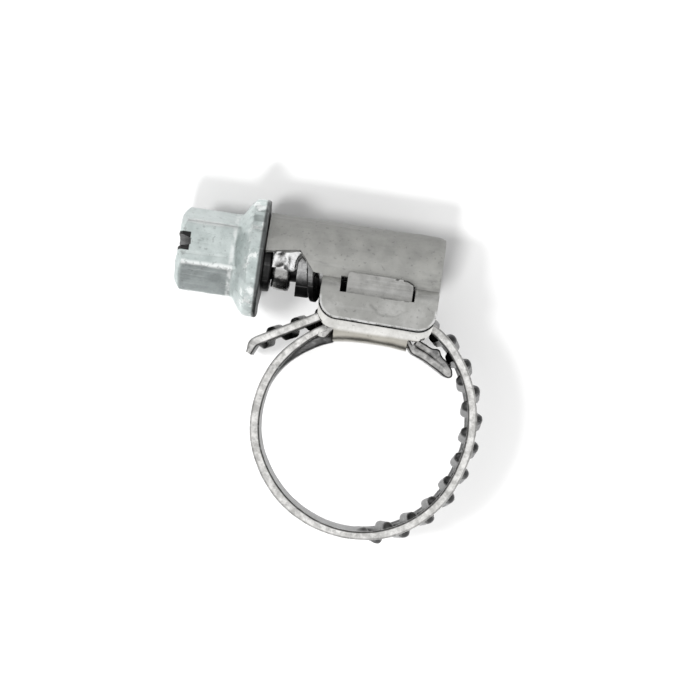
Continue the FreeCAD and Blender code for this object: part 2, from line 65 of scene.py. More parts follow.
def lumps(points, size, seed, waves=14):
    """Soft unevenness: the mean of sine waves in seeded directions, wavelengths about size, range about -1 to 1."""
    random = np.random.default_rng(seed)
    direction = random.normal(size=(waves, 3))
    direction /= np.linalg.norm(direction, axis=1)[:, None]
    length = size * random.uniform(0.6, 1.8, waves)
    phase = random.uniform(0, 2 * np.pi, waves)
    wave = np.sin(points @ direction.T * (2 * np.pi / length) + phase)
    return wave.sum(-1) / math.sqrt(waves)


def through(knots, at):
    """A smooth curve through (position, value) knots: cubic Hermite with central-difference slopes."""
    x, y = np.array(knots, float).T
    slope = np.gradient(y, x)
    cell = np.clip(np.searchsorted(x, at) - 1, 0, len(x) - 2)
    width = x[cell + 1] - x[cell]
    t = np.clip((at - x[cell]) / width, 0.0, 1.0)
    h00 = 2 * t**3 - 3 * t**2 + 1
    h10 = t**3 - 2 * t**2 + t
    h01 = -2 * t**3 + 3 * t**2
    h11 = t**3 - t**2
    return h00 * y[cell] + h10 * width * slope[cell] + h01 * y[cell + 1] + h11 * width * slope[cell + 1]


def resample(path, step):
    """The same path with points at an even spacing of about step."""
    gap = np.linalg.norm(np.diff(path, axis=0), axis=1)
    along = np.concatenate([[0.0], np.cumsum(gap)])
    count = max(2, int(round(along[-1] / step)) + 1)
    even = np.linspace(0.0, along[-1], count)
    return np.stack([np.interp(even, along, path[:, k]) for k in range(path.shape[1])], axis=1)


def soften(path, reach, step):
    """Rounds a path's corners: a running mean over twice reach, with both ends kept."""
    half = max(1, int(round(reach / step)))
    for _ in range(2):
        padded = np.concatenate([
            2 * path[0] - path[half:0:-1], path, 2 * path[-1] - path[-2:-half - 2:-1]
        ])
        kernel = np.ones(2 * half + 1) / (2 * half + 1)
        path = np.stack([np.convolve(padded[:, k], kernel, "valid") for k in range(path.shape[1])], axis=1)
    return path


def right_side(path):
    """Unit normals on the right of the direction of travel, so outwards on a loop run counterclockwise."""
    tangent = np.gradient(path, axis=0)
    tangent /= np.linalg.norm(tangent, axis=1)[:, None]
    return np.stack([tangent[:, 1], -tangent[:, 0]], axis=1)


def polar(radius, angle):
    """Points at these radii and angles in degrees about the bore axis."""
    turn = np.radians(angle)
    return np.stack([radius * np.cos(turn), radius * np.sin(turn)], axis=-1)


def grid_faces(rows, columns, closed_columns=False):
    """Quads of a rows x columns grid; the last column joins the first when closed."""
    row, column = np.meshgrid(np.arange(rows - 1), np.arange(columns - (not closed_columns)), indexing="ij")
    nxt = (column + 1) % columns
    quads = np.stack([row * columns + column, row * columns + nxt, (row + 1) * columns + nxt, (row + 1) * columns + column], -1)
    return quads.reshape(-1, 4)


def make_mesh(name, points, faces, sharp=35.0, marks=None):
    """A mesh from points in millimetres; edges that turn more than sharp degrees stay sharp.

    marks holds arrays with one number a point, which become attributes that a material can read.
    """
    mesh = bpy.data.meshes.new(name)
    mesh.from_pydata((np.asarray(points, float) * MM).tolist(), [], [list(map(int, f)) for f in faces])
    mesh.update()
    for label, values in (marks or {}).items():
        layer = mesh.attributes.new(label, "FLOAT", "POINT")
        layer.data.foreach_set("value", np.asarray(values, float).ravel())
    piece = bpy.data.objects.new(name, mesh)
    bpy.context.scene.collection.objects.link(piece)
    tidy_normals(piece, sharp)
    return piece


def tidy_normals(piece, sharp=35.0):
    """Merges doubles, turns faces outwards and marks the sharp edges."""
    import bmesh
    work = bmesh.new()
    work.from_mesh(piece.data)
    bmesh.ops.remove_doubles(work, verts=work.verts, dist=1e-7)
    bmesh.ops.recalc_face_normals(work, faces=work.faces)
    work.to_mesh(piece.data)
    work.free()
    piece.data.polygons.foreach_set("use_smooth", np.ones(len(piece.data.polygons), bool))
    piece.data.set_sharp_from_angle(angle=math.radians(sharp))
    piece.data.update()


def apply_modifiers(piece):
    """Puts the result of a piece's modifiers into its mesh."""
    bpy.context.view_layer.update()
    graph = bpy.context.evaluated_depsgraph_get()
    mesh = bpy.data.meshes.new_from_object(piece.evaluated_get(graph))
    piece.modifiers.clear()
    piece.data = mesh


def finish_sheet(piece, thickness, edge, segments=3):
    """Gives a surface its thickness, half to each side, and rounds the rim's edges."""
    solid = piece.modifiers.new("thickness", "SOLIDIFY")
    solid.thickness = thickness * MM
    solid.offset = 0.0
    solid.use_even_offset = True
    round_rim = piece.modifiers.new("rim", "BEVEL")
    round_rim.width = edge * MM
    round_rim.segments = segments
    round_rim.limit_method = "ANGLE"
    round_rim.angle_limit = math.radians(50)
    apply_modifiers(piece)
    tidy_normals(piece)


def push(piece, amount_of):
    """Moves each vertex along its normal by amount_of(points in mm), in mm."""
    mesh = piece.data
    count = len(mesh.vertices)
    place = np.empty(count * 3)
    mesh.vertices.foreach_get("co", place)
    place = place.reshape(-1, 3) / MM
    normal = np.empty(count * 3)
    mesh.vertex_normals.foreach_get("vector", normal)
    normal = normal.reshape(-1, 3)
    place = place + normal * amount_of(place)[:, None]
    mesh.vertices.foreach_set("co", (place * MM).ravel())
    mesh.update()


# ---------------------------------------------------------------- band

# inner radius of the band's edge about the bore axis, by angle in degrees
LOOP_EDGE = [
    (-240, 10.05), (-225, 9.96), (-205, 9.9), (-190, 9.78), (-170, 9.6), (-150, 9.27), (-120, 8.95),
    (-90, 8.83), (-30, 8.78), (-12, 8.86), (0, 9.08), (10, 9.33), (20, 9.6), (30, 9.92), (40, 10.25),
    (50, 10.62), (60, 10.95), (70, 11.1), (80, 11.15), (90, 11.15),
]
# inner radius of the band's floor where it dips to meet the strap, by angle
LEFT_FLOOR = [
    (-243, 8.92), (-235, 9.1), (-230, 9.2), (-220, 9.42), (-210, 9.63), (-200, 9.76), (-190, 9.78),
]
RUN_EDGE = 11.15
TAIL_ANGLE = 121.0
TAIL_LENGTH = 6.0
TAIL_RISE = 1.6
TAIL_LIP = 0.95
EMBOSS = 0.68
EMBOSS_PHASE_ANGLE = 85.95


def strip_mesh(name, path, floor, edge, wave, worn, shaded, sheet=SHEET, width=HALF_BAND, across=57):
    """A strip of sheet carried along a path in the XY plane, as one closed surface.

    Heights are measured from the path to its right. The section's inner line is floor at the middle and
    edge[0] on the turned-up edges; its outer line is floor + sheet at the middle and edge[1] on the edges. The
    embossing wave is added on the middle of the floor. Corners are quarter circles. The marks say which points
    are on the inner side or on a shaded stretch, both of which take painted shade, on a rim's corner, where a
    painted shade line runs, on a worn stretch, and on a rib.
    """
    side = right_side(path)
    z = width * np.sin(np.linspace(-np.pi / 2, np.pi / 2, across))
    up = smooth(width - 0.95, width - 0.35, np.abs(z))
    middle = 1 - smooth(2.2, 2.85, np.abs(z))
    corner = 0.13
    from_corner = np.clip(np.abs(z) - (width - corner), 0, corner)
    fall = corner - np.sqrt(np.maximum(corner**2 - from_corner**2, 0))
    floor = np.broadcast_to(floor, len(path))[:, None]
    inner_edge, outer_edge = (e if e.ndim == 2 else e[:, None] for e in edge)
    ribs = wave(z) * middle
    inner = floor * (1 - up) + inner_edge * up + ribs + fall
    outer = (floor + np.broadcast_to(sheet, len(path))[:, None]) * (1 - up) + outer_edge * up + ribs - fall
    share = np.array([0.1, 0.3, 0.6, 0.9])
    no_rib = np.zeros((len(path), len(share)))
    ribs_all = np.concatenate([ribs + 0 * inner, no_rib, ribs + 0 * inner, no_rib], axis=1)
    near_face = outer[:, -1:] * (1 - share) + inner[:, -1:] * share
    far_face = inner[:, :1] * (1 - share) + outer[:, :1] * share
    height = np.concatenate([outer, near_face, inner[:, ::-1], far_face], axis=1)
    extra = np.full(len(share), width)
    across_z = np.concatenate([z, extra, z[::-1], -extra])
    flat = path[:, None, :] + side[:, None, :] * height[:, :, None]
    points = np.concatenate([flat, np.broadcast_to(across_z[None, :, None], height.shape + (1,))], axis=2)
    rows, columns = height.shape
    points = points + 0.012 * lumps(points, 1.5, 11)[..., None] * np.array([0.6, 0.6, 1.0])
    faces = list(grid_faces(rows, columns, closed_columns=True))
    half = columns // 2
    last_column = across - 1
    for end in (0, rows - 1):
        base = end * columns
        for k in range(last_column):
            faces.append([base + k, base + k + 1, base + half + last_column - k - 1, base + half + last_column - k])
        outer_corner, inner_corner = base + last_column, base + half
        faces.append([outer_corner, *range(outer_corner + 1, inner_corner), inner_corner])
        faces.append([base + half + last_column, *range(base + half + last_column + 1, base + columns), base])
    # The inner side is marked for painted shade; the shaded stretch is added to it below.
    painted_shade = np.zeros(columns)
    painted_shade[half:half + across] = 1
    # The rims' corners are marked for a painted shade line.
    outline = np.zeros(columns)
    outline[:across] = 0.5 * (np.abs(z) > width - 0.6 * corner)
    outline[half:half + across] = np.abs(z[::-1]) > width - 0.6 * corner
    marks = {
        "painted_shade": np.maximum(painted_shade[None, :], shaded[:, None]), "outline": np.broadcast_to(outline, height.shape),
        "worn": np.broadcast_to(worn[:, None], height.shape), "ribbed": (np.abs(ribs_all) > 0.2) * 1.0,
    }
    return make_mesh(name, points.reshape(-1, 3), faces, 40, marks)


def emboss_wave(along, strength):
    """Height of the pressed ribs: a flattened cosine along the band, slanted like the worm's thread."""
    def wave(z):
        slant = PITCH / (2 * np.pi * 2.7)
        phase = 2 * np.pi * (along[:, None] - slant * z[None, :]) / (PITCH * 0.978)
        ribs = -np.tanh(1.5 * np.cos(phase)) / np.tanh(1.5)
        return ribs * strength[:, None]
    return wave


def layer_height(x):
    """Inner line of the layer that lies on the saddle's strap, as y at x."""
    return 9.08 - 0.022 * (x + 0.6) ** 2


def make_fixed_band():
    """Folded tongue, layer over the strap, left side and the bottom of the loop, as one strip."""
    step = 0.11
    upper = polar(np.array([10.0, 10.06, 10.06, 9.97]), np.array([69.0, 58.0, 50.0, 45.0]))
    nose = polar(np.array([9.62, 9.2, 8.98]), np.array([41.9, 42.3, 45.0]))
    lower = polar(np.array([8.8, 8.63, 8.52]), np.array([51.0, 60.0, 69.0]))
    x = np.array([2.5, 1.2, 0.0, -1.5, -3.0, -4.0])
    over = np.stack([x, layer_height(x)], 1)
    angle = np.linspace(-243.2, -90.0, 110)
    edge_radius = through(LOOP_EDGE, np.maximum(angle, -240))
    floor_radius = np.where(angle < -190, through(LEFT_FLOOR, np.minimum(angle, -190)), edge_radius)
    path = resample(np.concatenate([upper, nose, lower, over, polar(floor_radius, angle)]), step)
    path = resample(soften(path, 0.16, step), step)
    turn = np.degrees(np.arctan2(path[:, 1], path[:, 0])) % 360
    after = np.arange(len(path)) * step
    after = after - after[np.argmin(turn)]
    folded = after < 0
    radius = np.linalg.norm(path, axis=1)
    around = np.clip(turn - 360, -240, -90)
    edge_line = through(LOOP_EDGE, around)
    on_loop = smooth(103, 118, turn) * ~folded
    lift = np.clip(edge_line - radius, 0, 1.2) * on_loop
    on_left = smooth(125, 150, turn) * (1 - smooth(225, 262, turn)) * ~folded
    on_tongue = ~folded * (turn < 72)
    thick = np.where(folded, 0.64, SHEET - 0.1 + 0.3 * on_loop + 0.12 * on_left + 0.3 * on_tongue)
    burr = 0.3 * np.exp(-(((turn - 57.2) / 2.2) ** 2)) * folded
    side = np.sin(np.linspace(-np.pi / 2, np.pi / 2, 57)) > 0
    inner_edge = lift[:, None] - burr[:, None] * side[None, :]
    outer_edge = np.broadcast_to((lift + thick)[:, None], inner_edge.shape)
    sheet = np.where(folded, 0.64, SHEET - 0.1 + 0.1 * on_loop + 0.3 * on_tongue)
    floor = 0.06 * on_left
    worn = np.where(folded, 1.0, 0.75 * (1 - smooth(104, 128, turn)))
    return strip_mesh("band_fixed", path, floor, (inner_edge, outer_edge), lambda z: 0 * z[None, :], worn, 0 * turn, sheet)


def make_moving_band():
    """Right side of the loop, the run under the worm and the free tail with its lip, as one strip."""
    step = 0.07
    angle = np.arange(-90.0, TAIL_ANGLE + 0.1, 0.5)
    radius = through(LOOP_EDGE, np.minimum(angle, 90))
    ring = polar(radius, angle)
    outward = polar(1.0, TAIL_ANGLE)
    level = polar(1.0, TAIL_ANGLE - TAIL_RISE)
    ahead = np.array([-level[1], level[0]])
    tail = ring[-1] + ahead * TAIL_LENGTH
    droop = math.radians(38)
    lip = tail + (ahead * math.cos(droop) - outward * math.sin(droop)) * TAIL_LIP
    path = resample(np.concatenate([ring, [tail], [lip]]), step)
    path = resample(soften(path, 0.2, step), step)
    along = np.arange(len(path)) * step
    turn = np.degrees(np.arctan2(path[:, 1], path[:, 0]))
    mesh_at = along[np.argmin(np.abs(turn - EMBOSS_PHASE_ANGLE))]
    end = along[-1]
    tail_at = end - TAIL_LIP - TAIL_LENGTH
    on_tail = smooth(tail_at, tail_at + 1.5, along)
    under_worm = smooth(66, 74, turn)
    strength = (EMBOSS - 0.1 * under_worm) * smooth(-93, -72, turn) * smooth(end - 0.8, end - 1.5, along)
    flat_end = smooth(end - 0.9, end - 0.1, along)
    ring_start = 1 - smooth(-90, -66, turn)
    floor = (0.19 - 0.12 * under_worm) * (1 - ring_start) * (1 - flat_end)
    outer_edge = 0.85 - 0.1 * ring_start - 0.25 * flat_end
    worn = 0.8 * smooth(end - TAIL_LIP - 0.3, end - TAIL_LIP, along) - 0.5 * on_tail
    ribs = emboss_wave(along - mesh_at, strength)
    # The tail is marked for painted shade on both of its sides.
    return strip_mesh("band_moving", path, floor, (0 * along, outer_edge), ribs, worn, 1.3 * on_tail)


# ---------------------------------------------------------------- worm screw

def turned_mesh(name, x, radius, sharp=40):
    """A closed surface about the screw axis: radius[x, turn] on a grid, with its two ends closed to the axis."""
    rows, columns = radius.shape
    turn = np.linspace(0, 2 * np.pi, columns, endpoint=False)
    y = SCREW_Y + radius * np.cos(turn)[None, :]
    z = radius * np.sin(turn)[None, :]
    along = np.broadcast_to(x[:, None], radius.shape) if x.ndim == 1 else x
    points = np.stack([along, y, z], -1).reshape(-1, 3)
    first = [[along[0].mean(), SCREW_Y, 0.0]]
    last = [[along[-1].mean(), SCREW_Y, 0.0]]
    faces = list(grid_faces(rows, columns, closed_columns=True))
    hub = rows * columns
    for k in range(columns):
        nxt = (k + 1) % columns
        faces.append([hub, nxt, k])
        faces.append([hub + 1, (rows - 1) * columns + k, (rows - 1) * columns + nxt])
    return make_mesh(name, np.concatenate([points, first, last]), faces, sharp)


def hexagon_radius(turn, flats, face_turn, sharpness=26):
    """Radius of a hexagon with softened corners: a / (sum of max(cos, 0)^p)^(1/p) over its six faces."""
    faces = face_turn + np.arange(6) * np.pi / 3
    lobe = np.maximum(np.cos(turn[..., None] - faces), 0) ** sharpness
    return flats / 2 / lobe.sum(-1) ** (1 / sharpness)


def profile_points(corners, step, reach):
    """A turned profile's outline through its corners, evenly spaced, with corners rounded by reach."""
    path = resample(np.array(corners, float), step)
    return resample(soften(path, reach, step), step)


def make_screw_head():
    """Hexagon, cone, flange, collar and neck as one turned surface; the hexagon and the cone merge where
    they cross, and the flange's rim is lumpy like a cold-forged part."""
    columns = 240
    turn = np.linspace(0, 2 * np.pi, columns, endpoint=False)
    nose = profile_points([(-19.5, 0.05), (-19.5, 3.1), (-19.22, 3.55), (-18.7, 4.2)], 0.06, 0.16)
    body_x = np.arange(-18.62, -14.1, 0.07)
    body = np.stack([body_x, np.full(len(body_x), 4.3 + 0.3)], 1)
    back = profile_points([
        (-14.1, 5.1), (-12.8, 5.42), (-11.56, 5.48), (-11.5, 3.3), (-11.48, 2.9), (-10.75, 2.9), (-10.7, 1.65), (-8.1, 1.65),
    ], 0.07, 0.13)
    outline = np.concatenate([nose, body, back])
    x = outline[:, 0]
    limit = outline[:, 1][:, None]
    hexagon = hexagon_radius(turn, 7.0, math.radians(90 - 10.5))[None, :]
    cone = 3.3 + 2.3 * smooth(-14.75, -12.45, x)[:, None]
    blunt = 45.0
    merged = (hexagon**blunt + cone**blunt) ** (1 / blunt)
    merged = np.where(x[:, None] < -12.7, merged, 9.0)
    radius = np.minimum(limit, merged)
    grid_x = np.broadcast_to(x[:, None], radius.shape).copy()
    points = np.stack([grid_x, radius * np.cos(turn), radius * np.sin(turn)], -1)
    rim = smooth(3.6, 5.2, radius) * smooth(-14.6, -13.4, grid_x)
    ring = np.stack([np.cos(turn) * 5, np.sin(turn) * 5, np.zeros(columns)], -1)
    radius = radius + rim * (0.1 * lumps(ring, 3.4, 5)[None, :] + 0.05 * lumps(points, 1.3, 6))
    radius = radius + 0.018 * lumps(points, 1.6, 7) * smooth(-11.0, -12.0, grid_x)
    grid_x = grid_x + rim * 0.1 * lumps(ring, 4.2, 8)[None, :]
    grid_x = grid_x + 0.05 * lumps(points, 2.2, 9) * smooth(-18.6, -19.4, grid_x)
    head = turned_mesh("screw_head", grid_x, np.maximum(radius, 0.02))
    cut_slot(head)
    return head


def cut_slot(head):
    """Cuts the driver slot across the end of the head."""
    mouth, root, lean = 0.8, 0.3, math.tan(math.radians(10.5))
    points = []
    for z, floor_x in ((-6.0, -18.2), (0.0, -18.5), (6.0, -18.2)):
        y = SCREW_Y + lean * z
        points += [(-20.2, y - mouth, z), (-20.2, y + mouth, z), (floor_x, y + root, z), (floor_x, y - root, z)]
    faces = [[0, 1, 2, 3], [11, 10, 9, 8]]
    faces += [[base + k, base + 4 + k, base + 4 + (k + 1) % 4, base + (k + 1) % 4] for base in (0, 4) for k in range(4)]
    tool = make_mesh("slot_tool", points, faces)
    cut = head.modifiers.new("slot", "BOOLEAN")
    cut.operation = "DIFFERENCE"
    cut.object = tool
    cut.solver = "EXACT"
    apply_modifiers(head)
    bpy.data.objects.remove(tool)
    tidy_normals(head, 40)


def make_worm():
    """The worm, its first turn filled in behind: a right-hand thread of trapezoid section, r = core + depth * tooth(x / pitch - turn)."""
    columns = 160
    turn = np.linspace(0, 2 * np.pi, columns, endpoint=False)
    x = np.concatenate([[-8.35], np.arange(-8.3, 4.5, 0.055), [4.52]])
    start_turn = np.pi
    mesh_x = 0.82
    phase = (x[:, None] - mesh_x) / PITCH - (turn[None, :] - start_turn) / (2 * np.pi)
    distance = np.abs(phase - np.round(phase)) * PITCH
    tooth = 1 - smooth(0.2, 0.72, distance)
    run_in = smooth(-8.25, -7.5, x) * smooth(4.5, 3.9, x)
    radius = 2.05 + 1.15 * tooth * run_in[:, None]
    shoulder = smooth(-8.45, -8.32, x) * (1 - smooth(-7.1, -6.7, x))
    radius = np.maximum(radius, 2.05 + 0.9 * shoulder[:, None])
    radius[0] = 1.5
    radius[-1] = 1.5
    points = np.stack([np.broadcast_to(x[:, None], radius.shape), radius * np.cos(turn), radius * np.sin(turn)], -1)
    radius = radius + 0.012 * lumps(points, 1.1, 21)
    return turned_mesh("screw_worm", x, radius)


# ---------------------------------------------------------------- pressed sheets

def filleted(corners, radii, step):
    """A path of straight runs joined by arcs that touch both: points (a, b) and a radius at each inner corner."""
    corners = np.array(corners, float)
    pieces = [corners[:1]]
    for k in range(1, len(corners) - 1):
        before = corners[k - 1] - corners[k]
        after = corners[k + 1] - corners[k]
        before /= np.linalg.norm(before)
        after /= np.linalg.norm(after)
        half = 0.5 * math.acos(np.clip(before @ after, -1, 1))
        reach = radii[k - 1] / math.tan(half)
        middle = corners[k] + (before + after) / np.linalg.norm(before + after) * radii[k - 1] / math.sin(half)
        first = corners[k] + before * reach - middle
        last = corners[k] + after * reach - middle
        sweep = np.linspace(0, 1, 9)[:, None]
        total = math.pi - 2 * half
        arc = (np.sin((1 - sweep) * total) * first + np.sin(sweep * total) * last) / math.sin(total)
        pieces.append(middle + arc)
    pieces.append(corners[-1:])
    return resample(np.concatenate(pieces), step)


def panel(points):
    """A grid of points as (points, faces) to be joined with other panels."""
    rows, columns = points.shape[:2]
    return points.reshape(-1, 3), grid_faces(rows, columns)


def joined(name, panels):
    """Several grids as one surface; matching borders merge."""
    points = []
    faces = []
    base = 0
    for place, quads in panels:
        points.append(place)
        faces.append(quads + base)
        base += len(place)
    return make_mesh(name, np.concatenate(points), np.concatenate(faces))


def spread(stops, spacing):
    """Positions from the first stop to the last, about spacing apart, with every stop kept."""
    pieces = []
    for low, high in zip(stops[:-1], stops[1:]):
        count = max(1, int(math.ceil((high - low) / spacing - 0.01)))
        pieces.append(np.linspace(low, high, count, endpoint=False))
    return np.concatenate(pieces + [np.array(stops[-1:])])


def rounded_edge(x, left, right, radius):
    """How far a rounded corner lifts the lower edge at x, for a plate between left and right."""
    inset = np.minimum(x - left, right - x).clip(0, radius)
    return radius - np.sqrt(np.maximum(radius**2 - (radius - inset) ** 2, 0))


def corner_stops(left, right, radius):
    """Column positions close together round the two lower corners of a plate."""
    inset = radius * (1 - np.cos(np.linspace(0, np.pi / 2, 10)))
    return list(left + inset), list((right - inset)[::-1])


def between(columns, low, high):
    return columns[(columns > low - 1e-6) & (columns < high + 1e-6)]


def wall_grid(x, low, high, z, rows):
    """A flat upright grid at z: columns at x, rows from low(x) to high(x)."""
    share = np.linspace(0, 1, rows)[:, None]
    y = low[None, :] * (1 - share) + high[None, :] * share
    return np.stack([np.broadcast_to(x, y.shape), y, np.full(y.shape, z)], -1)


def with_mirror(panels):
    """The panels and their mirror images in the band's mid-plane."""
    return panels + [(place * np.array([1.0, 1.0, -1.0]), quads) for place, quads in panels]


def section_grid(x, path, columns_of):
    """Carries a (z, y) path along the columns x, each point moved by columns_of(x, point index share)."""
    share = np.linspace(0, 1, len(path))[:, None]
    z = path[:, 0][:, None] + 0 * x[None, :]
    y = path[:, 1][:, None] + columns_of(x[None, :], share)
    return np.stack([np.broadcast_to(x[None, :], z.shape), y, z], -1)


# ---------------------------------------------------------------- saddle

def make_saddle():
    """Two side walls with rounded lower corners and locking tabs, joined by a strap along the bore.

    A strap column runs from the wall through a quarter-circle bend of radius 0.6 onto a slightly arched strap.
    """
    left, right, bend = -5.95, 4.7, 0.6
    strap_left, strap_right = -4.2, 2.6
    tab_left, tab_right = -3.6, 2.45
    wall_z, wall_top = 5.0, 12.35
    left_stops, right_stops = corner_stops(left, right, 1.5)
    stops = left_stops + [strap_left - 0.08, strap_left, tab_left, tab_right, strap_right, strap_right + 0.08] + right_stops
    x = spread(sorted(stops), 0.15)
    strap_line = 8.69 - 0.022 * (x + 0.6) ** 2
    on_strap = (x > strap_left - 1e-6) & (x < strap_right + 1e-6)
    wall_bottom = 9.18 - 0.02 * x + rounded_edge(x, left, right, 1.5)
    low = np.where(on_strap, strap_line + bend, wall_bottom)
    wall = wall_grid(x, low, np.full(len(x), wall_top), wall_z, 12)
    tab_x = between(x, tab_left, tab_right)
    slant = np.interp(tab_x, [tab_left, tab_left + 0.2, 1.9, tab_right], [14.42, 14.52, 14.5, 14.2])
    tab = wall_grid(tab_x, np.full(len(tab_x), wall_top), slant, wall_z, 8)
    strap_x = x[on_strap]
    quarter = np.linspace(0, np.pi / 2, 8)
    bend_z = wall_z - bend + bend * np.cos(quarter)
    bend_drop = bend * np.sin(quarter)
    z = np.concatenate([bend_z, np.linspace(wall_z - bend, -wall_z + bend, 24)[1:-1], -bend_z[::-1]])
    drop = np.concatenate([bend_drop, np.full(22, bend), bend_drop[::-1]])
    strap_y = strap_line[on_strap][None, :] + bend - drop[:, None]
    strap = np.stack([np.broadcast_to(strap_x, strap_y.shape), strap_y, np.broadcast_to(z[:, None], strap_y.shape)], -1)
    piece = joined("saddle_sheet", with_mirror([panel(wall), panel(tab)]) + [panel(strap)])
    finish_sheet(piece, 0.7, 0.16)
    push(piece, lambda p: 0.02 * lumps(p, 2.4, 31) + 0.008 * lumps(p, 0.9, 32))
    return piece


# ---------------------------------------------------------------- housing

def make_housing():
    """Barrel over the worm, with feet that bend outwards over the saddle's walls and end in plates.

    A section is half a circle of radius 4.05 about the screw axis, then a foot that steps out to the plate.
    In front of the feet the barrel's lower edge rises to a hood over the screw's neck.
    """
    front, back = -11.42, 4.85
    plate_left = -5.9
    notch_left, notch_right = -4.2, 2.7
    left_stops, right_stops = corner_stops(plate_left, back, 1.7)
    stops = [front, -8.25, -7.95, -6.85, -6.6] + left_stops + [notch_left, notch_right] + right_stops
    x = spread(sorted(stops), 0.14)
    radius = 4.05
    foot_start = SCREW_Y - 0.55
    edge_y = np.interp(x, [front, -8.25, -7.95, -6.85, -6.6, plate_left], [15.28, 15.72, 15.4, 14.1, foot_start, foot_start])
    edge_drop = np.minimum(edge_y - SCREW_Y, 0)
    edge_turn = np.arccos(np.clip((edge_y - SCREW_Y) / radius, 0, 1))
    length = radius * edge_turn - edge_drop
    share = np.linspace(-1, 1, 121)[:, None]
    along = share * length[None, :]
    over = np.abs(along) > radius * np.pi / 2
    turn = np.clip(along / radius, -np.pi / 2, np.pi / 2)
    end_curl = 0.16 * smooth(back - 0.7, back, x)[None, :]
    barrel_y = SCREW_Y + (radius - end_curl) * np.cos(turn) - np.where(over, np.abs(along) - radius * np.pi / 2, 0)
    barrel_z = (radius - end_curl) * np.sin(turn)
    barrel = np.stack([np.broadcast_to(x[None, :], barrel_y.shape), barrel_y, barrel_z], -1)
    foot_path = filleted([(radius, foot_start), (radius, 13.62), (5.75, 13.05), (5.75, 12.6)], [0.35, 0.35], 0.1)
    panels = []
    for low, high in ((plate_left, notch_left), (notch_right, back)):
        foot_x = between(x, low, high)
        curl = 0.16 * smooth(back - 0.7, back, foot_x)[None, :]
        foot = section_grid(foot_x, foot_path, lambda a, s: 0 * a)
        foot[..., 2] -= curl * (1 - np.linspace(0, 1, len(foot_path)))[:, None]
        panels.append(panel(foot))
    plate_x = between(x, plate_left, back)
    bottom = 10.12 - 0.1 * (plate_x + 0.5) / 5.4 + rounded_edge(plate_x, plate_left, back, 1.7)
    plate = wall_grid(plate_x, bottom, np.full(len(plate_x), 12.6), 5.75, 22)
    panels.append(panel(plate))
    piece = joined("housing_sheet", [panel(barrel)] + with_mirror(panels))
    finish_sheet(piece, 0.7, 0.17)
    push(piece, lambda p: 0.025 * lumps(p, 3.1, 41) + 0.008 * lumps(p, 1.0, 42) - staking(p))
    return piece


def staking(p):
    """Depth of the pressed mark under each notch: a groove along three short lines on the plate's outer face."""
    corners = np.array([(-1.15, 11.95), (-0.3, 11.15), (1.1, 11.15), (1.65, 11.6)])
    depth = np.zeros(len(p))
    for first, last in zip(corners[:-1], corners[1:]):
        run = last - first
        share = np.clip(((p[:, :2] - first) @ run) / (run @ run), 0, 1)
        away = np.linalg.norm(p[:, :2] - first - share[:, None] * run, axis=1)
        depth = np.maximum(depth, 0.16 * np.exp(-((away / 0.1) ** 2)))
    return depth * (np.abs(p[:, 2]) > 5.9)


def make_throat():
    """Curl of the housing round the screw's neck: a rounded ring, r = 2.2 +- 0.4 over its length."""
    turn = np.linspace(0, 2 * np.pi, 97)[:-1]
    loop = np.linspace(0, 2 * np.pi, 41)[:-1]
    blunt = 0.62
    c, s = np.cos(loop), np.sin(loop)
    x = -9.75 + 0.85 * np.sign(c) * np.abs(c) ** blunt
    r = 2.24 + 0.38 * np.sign(s) * np.abs(s) ** blunt
    shape = (len(loop), len(turn))
    x = np.broadcast_to(x[:, None], shape)
    r = np.broadcast_to(r[:, None], shape)
    points = np.stack([x, SCREW_Y + r * np.cos(turn), r * np.sin(turn)], -1)
    points = points + 0.05 * lumps(points, 1.4, 51)[..., None] * np.array([0.5, 1, 1])
    quads = grid_faces(len(loop), len(turn), closed_columns=True)
    last = (len(loop) - 1) * len(turn)
    column = np.arange(len(turn))
    nxt = (column + 1) % len(turn)
    seam = np.stack([last + column, last + nxt, nxt, column], -1)
    return make_mesh("housing_throat", points.reshape(-1, 3), np.concatenate([quads, seam]))


def make_flap(mirror):
    """Lip of the hood, pressed in over the neck: an S-curved sheet from the hood's edge down to the throat."""
    u = np.linspace(0, 1, 40)[None, :]
    v = np.linspace(0, 1, 26)[:, None]
    x = -10.65 + 2.75 * u + 0.0 * v
    start_y = 15.5 + 0.35 * u
    end_y = 14.0 + 0.35 * np.sin(2.6 * np.pi * u) * u + 0.9 * smooth(0.72, 1.0, u)
    y = start_y * (1 - v) + end_y * v + 0.12 * np.sin(2 * np.pi * v) * np.cos(np.pi * u)
    z = 3.55 - 0.75 * smooth(0.0, 1.0, v) + 0.16 * np.sin(3 * np.pi * u + 1.5 * v) - 0.5 * smooth(0.75, 1, u) * v
    points = np.stack([x, y, z], -1)
    points[..., 2] *= -1 if mirror else 1
    name = "housing_lip_far" if mirror else "housing_lip_near"
    place, quads = panel(points)
    piece = make_mesh(name, place, quads)
    finish_sheet(piece, 0.34, 0.08, 2)
    push(piece, lambda p: 0.03 * lumps(p, 0.9, 52))
    return piece


# ---------------------------------------------------------------- materials

def new_group(name, inputs, outputs):
    """A shader node group with named sockets: (socket type, name, default) in, (socket type, name) out."""
    group = bpy.data.node_groups.new(name, "ShaderNodeTree")
    for kind, label, default in inputs:
        socket = group.interface.new_socket(label, in_out="INPUT", socket_type=kind)
        if default is not None:
            socket.default_value = default
    for kind, label in outputs:
        group.interface.new_socket(label, in_out="OUTPUT", socket_type=kind)
    return group, group.nodes.new("NodeGroupInput"), group.nodes.new("NodeGroupOutput")


